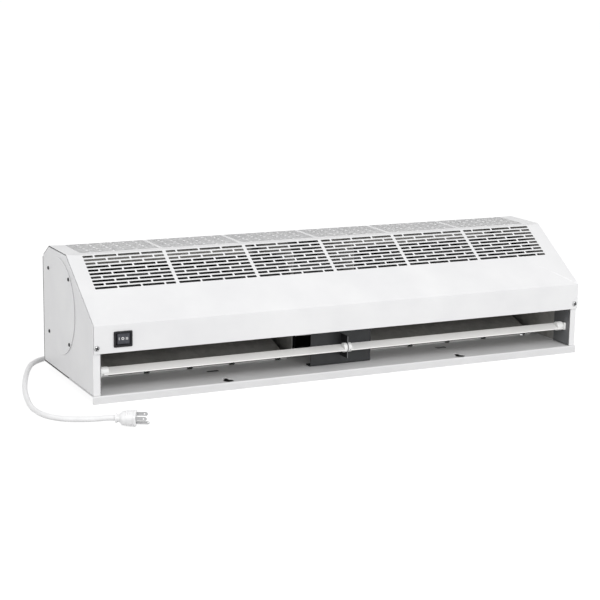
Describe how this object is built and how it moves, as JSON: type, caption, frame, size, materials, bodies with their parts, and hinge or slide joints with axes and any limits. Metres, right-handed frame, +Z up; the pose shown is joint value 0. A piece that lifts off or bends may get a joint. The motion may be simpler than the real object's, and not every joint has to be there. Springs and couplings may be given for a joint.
{
  "type": "air curtain",
  "caption": "White sheet-steel air curtain with a punched intake grille, a long air outlet with a tilting vane, cross-flow wheels, a rocker switch and a mains lead.",
  "frame": {"origin": "centre of the footprint at the level of the surface it lies on, the mains lead left out", "axes": "+X along the housing to its right end, +Y from the air outlet to the back, +Z up from its wall side"},
  "size_m": [1.016, 0.5739, 0.2165],
  "materials": {
    "white_powder_coat": "fine satin powder coat",
    "galvanised_sheet": "dull zinc",
    "dark_painted_steel": "matt",
    "nickel_plated_steel": "bright",
    "black_plastic": "satin",
    "white_plastic": "satin",
    "cord_vinyl": "satin",
    "rubber": "matt"
  },
  "bodies": {
    "housing": {"base_pan": "white_powder_coat", "back_panel": "white_powder_coat", "cover": "white_powder_coat", "end_plate_left": "white_powder_coat", "end_plate_right": "white_powder_coat", "access_cover_left": "white_powder_coat", "access_cover_right": "white_powder_coat", "scroll_left": "galvanised_sheet", "scroll_right": "galvanised_sheet", "throat_tongue_left": "galvanised_sheet", "throat_tongue_right": "galvanised_sheet", "casing_side_outer_left": "galvanised_sheet", "casing_side_outer_right": "galvanised_sheet", "casing_side_inner_left": "galvanised_sheet", "casing_side_inner_right": "galvanised_sheet", "bearing_left": "dark_painted_steel", "bearing_right": "dark_painted_steel", "motor": "dark_painted_steel", "motor_cradle": "dark_painted_steel", "motor_shield": "dark_painted_steel", "access_screw_left_1": "dark_painted_steel", "access_screw_left_2": "dark_painted_steel", "access_screw_left_3": "dark_painted_steel", "access_screw_left_4": "dark_painted_steel", "access_screw_right_1": "dark_painted_steel", "access_screw_right_2": "dark_painted_steel", "access_screw_right_3": "dark_painted_steel", "access_screw_right_4": "dark_painted_steel", "cover_screw_left": "nickel_plated_steel", "cover_screw_right": "nickel_plated_steel", "plug_blade_neutral": "nickel_plated_steel", "plug_blade_line": "nickel_plated_steel", "plug_ground_pin": "nickel_plated_steel", "switch_body": "black_plastic", "capacitor": "black_plastic", "vane_bracket_left": "white_plastic", "vane_bracket_right": "white_plastic", "terminal_block": "white_plastic", "cord_gland": "cord_vinyl", "cord_lead_in": "cord_vinyl", "cord_coil": "cord_vinyl", "cord_lead_out": "cord_vinyl", "plug_body": "cord_vinyl", "motor_ring_left": "rubber", "motor_ring_right": "rubber"},
    "rotor": {"motor_shaft": "nickel_plated_steel", "stub_shaft_left": "nickel_plated_steel", "stub_shaft_right": "nickel_plated_steel", "wheel_left": "dark_painted_steel", "wheel_right": "dark_painted_steel"},
    "vane": {"vane_left": "white_powder_coat", "vane_right": "white_powder_coat", "vane_clip_left": "white_plastic", "vane_clip_right": "white_plastic", "vane_centre_clip": "white_plastic"},
    "rocker": {"rocker": "black_plastic"}
  },
  "joints": [
    {"name": "rotor_spin", "type": "hinge", "parent": "housing", "child": "rotor", "pos_m": [0, 0.04045, 0.1256], "axis": [1, 0, 0], "continuous": true},
    {"name": "vane_tilt", "type": "hinge", "parent": "housing", "child": "vane", "pos_m": [0, -0.10875, 0.047], "axis": [1, 0, 0], "range_deg": [-60, 30]},
    {"name": "rocker_tilt", "type": "hinge", "parent": "housing", "child": "rocker", "pos_m": [-0.407, -0.12525, 0.1025], "axis": [0, 0, 1], "range_deg": [-12, 12]}
  ]
}
